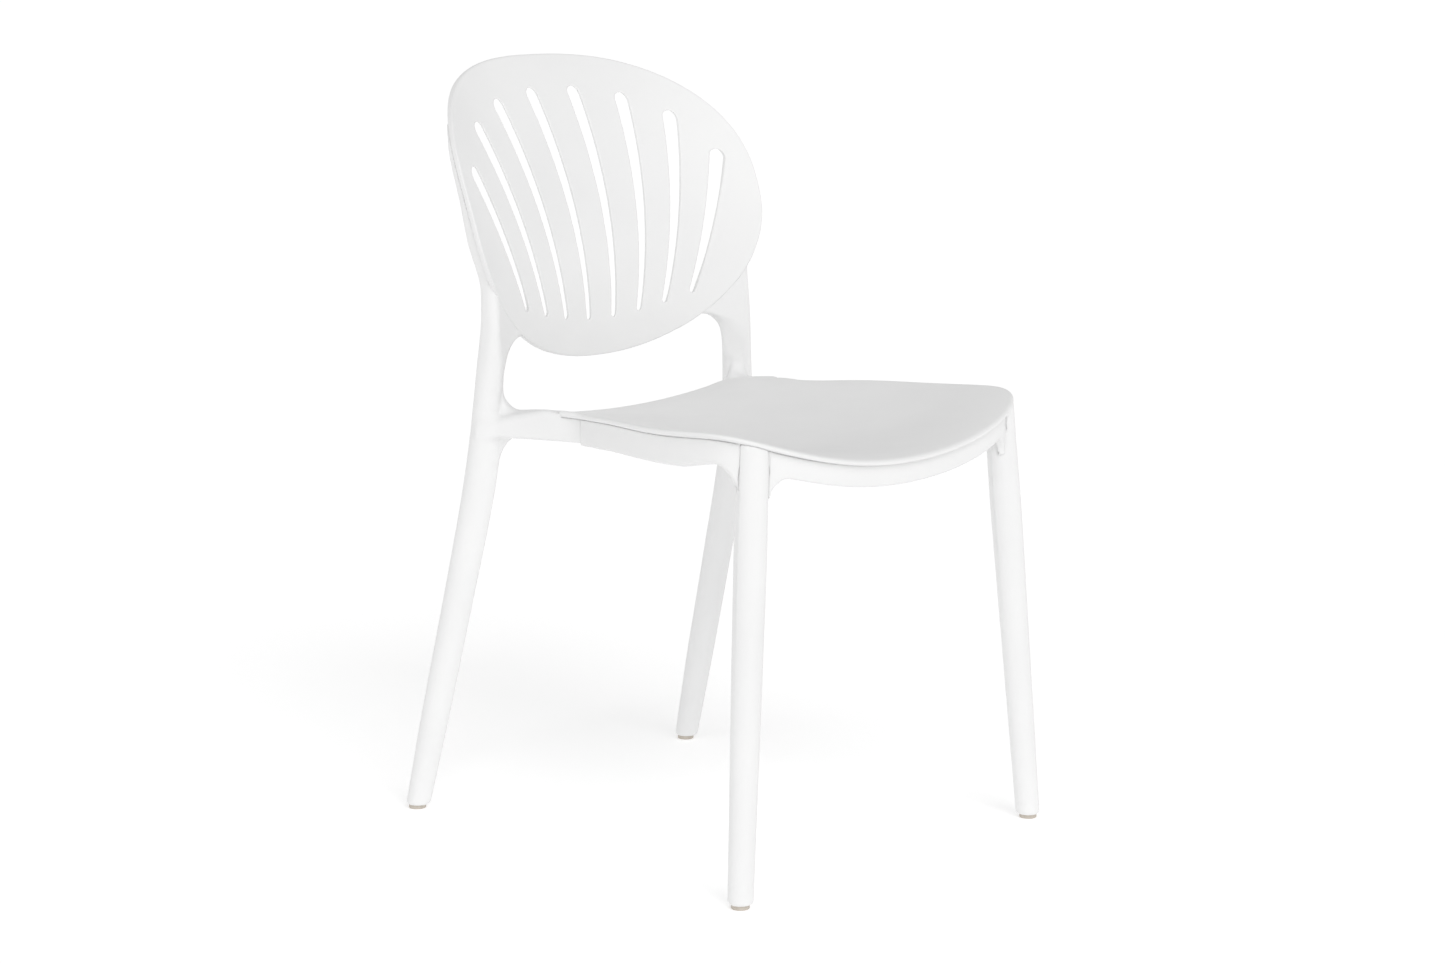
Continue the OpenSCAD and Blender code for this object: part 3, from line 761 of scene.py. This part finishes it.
def out_toward(azimuth, elevation):
    """Direction from the chair to a camera or light at these angles in degrees."""
    a, e = math.radians(azimuth), math.radians(elevation)
    return Vector((math.sin(a) * math.cos(e), -math.cos(a) * math.cos(e), math.sin(e)))


def look_back(item, out):
    """Turns a camera or light so that it looks back along out."""
    item.rotation_mode = "QUATERNION"
    item.rotation_quaternion = (-out).to_track_quat("-Z", "Y")


camera = bpy.data.objects.new("camera", bpy.data.cameras.new("camera"))
bpy.context.scene.collection.objects.link(camera)
camera.data.lens = CAMERA_LENS
camera.data.sensor_width = CAMERA_SENSOR
camera.data.clip_start, camera.data.clip_end = CLIP_NEAR, CLIP_FAR
camera_side = out_toward(CAMERA_AZIMUTH, CAMERA_ELEVATION)
camera.location = CAMERA_TARGET + camera_side * CAMERA_DISTANCE
look_back(camera, camera_side)
bpy.context.scene.camera = camera

# ---------------------------------------------------------------------------
# Pieces, each drawn in a space a little larger than itself
# ---------------------------------------------------------------------------

FRONT_LEG_SPACE = (162, -272, 2), (240, -210, 462)
REAR_LEG_SPACE = (110, 28, 2), (224, 264, 742)
SHELL_SPACE = (-218, SHELL_LOW[2] - 4, -2), (218, TOP_Z + 4, RIM_T + 2)
PANEL_SPACE = (-SEAT_HALF_W - 4, SEAT_FRONT - 4, -SEAT_T - 2), (SEAT_HALF_W + 4, SEAT_REAR + 4, 24)
FRAME_SPACE = (-216, SEAT_FRONT + 2, -54), (216, CROSSRAIL_Y + 4, 3)
LEG_CELL, SHELL_CELL, PANEL_CELL, FRAME_CELL = 1.5, 1.6, 2.0, 1.5
SHELL_THIN, PANEL_THIN = 2.0, 2.5


def add_white(name, points, quads):
    """A white moulding that stands for the CAD node of the same name."""
    add_mesh(name, points, quads, WHITE, [name])


def add_pair(field, space, right, left):
    """A piece drawn on the right and its mirror image on the left."""
    points, quads = surface(field, space, LEG_CELL)
    add_white(right, points, quads)
    add_white(left, *mirrored(points, quads))


add_pair(front_leg_field, FRONT_LEG_SPACE, "front_right_leg", "front_left_leg")
add_pair(rear_leg_field, REAR_LEG_SPACE, "rear_right_leg", "rear_left_leg")
add_white("back_shell", *surface(shell_field, SHELL_SPACE, SHELL_CELL, shell_place, SHELL_THIN))
add_white("seat_panel", *surface(panel_field, PANEL_SPACE, PANEL_CELL, panel_place, PANEL_THIN))
add_white("seat_frame", *surface(frame_field, FRAME_SPACE, FRAME_CELL, frame_place))

CAD_MATERIALS = {
    "glide": BEIGE, "inserts": BRASS, "screws": STEEL, "bolts": STEEL, "washers": STEEL}
for node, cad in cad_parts.items():
    material = CAD_MATERIALS.get(node.rsplit("_", 1)[-1])
    if material:
        cad.data.materials.clear()
        cad.data.materials.append(material)

# ---------------------------------------------------------------------------
# Floor, world and lights
# ---------------------------------------------------------------------------

FLOOR_R, FLOOR_SIDES = 40.0, 96
FLOOR_GLOW = 0.38
HORIZON, ZENITH, SKY_SPAN = 1.0, 0.5, (0.06, 0.6)
LIGHT_DISTANCE = 3

ring = []
for i in range(FLOOR_SIDES):
    turn = 2 * math.pi * i / FLOOR_SIDES
    ring.append((FLOOR_R * math.cos(turn), FLOOR_R * math.sin(turn), 0))
floor_mesh = bpy.data.meshes.new("floor")
floor_mesh.from_pydata(ring, [], [tuple(range(FLOOR_SIDES))])
floor_material, _, floor_shader = new_material("pale_floor")
floor_shader.inputs["Base Color"].default_value = grey(0.8)
floor_shader.inputs["Roughness"].default_value = 0.9
floor_shader.inputs["Specular IOR Level"].default_value = 0.1
floor_shader.inputs["Emission Color"].default_value = grey(1)
floor_shader.inputs["Emission Strength"].default_value = FLOOR_GLOW
floor_mesh.materials.append(floor_material)
floor = bpy.data.objects.new("floor", floor_mesh)
bpy.context.scene.collection.objects.link(floor)

world = bpy.data.worlds.new("studio")
bpy.context.scene.world = world
world.use_nodes = True
sky = world.node_tree
background = sky.nodes["Background"]
place = sky.nodes.new("ShaderNodeTexCoord")
split = sky.nodes.new("ShaderNodeSeparateXYZ")
sky.links.new(place.outputs["Generated"], split.inputs["Vector"])
shade = ramp(sky, split.outputs["Z"], grey(HORIZON), grey(ZENITH), *SKY_SPAN)
sky.links.new(shade, background.inputs["Color"])
background.inputs["Strength"].default_value = 1.0


def soft_light(name, azimuth, elevation, strength, softness):
    """A broad, even light from one side of the studio."""
    lamp = bpy.data.lights.new(name, "SUN")
    lamp.energy = strength
    lamp.angle = math.radians(softness)
    light = bpy.data.objects.new(name, lamp)
    bpy.context.scene.collection.objects.link(light)
    out = out_toward(azimuth, elevation)
    light.location = out * LIGHT_DISTANCE
    look_back(light, out)


soft_light("key", azimuth=-22, elevation=41, strength=1.02, softness=36)
soft_light("side", azimuth=-85, elevation=36, strength=0.22, softness=45)

bpy.context.scene.view_settings.view_transform = "Standard"
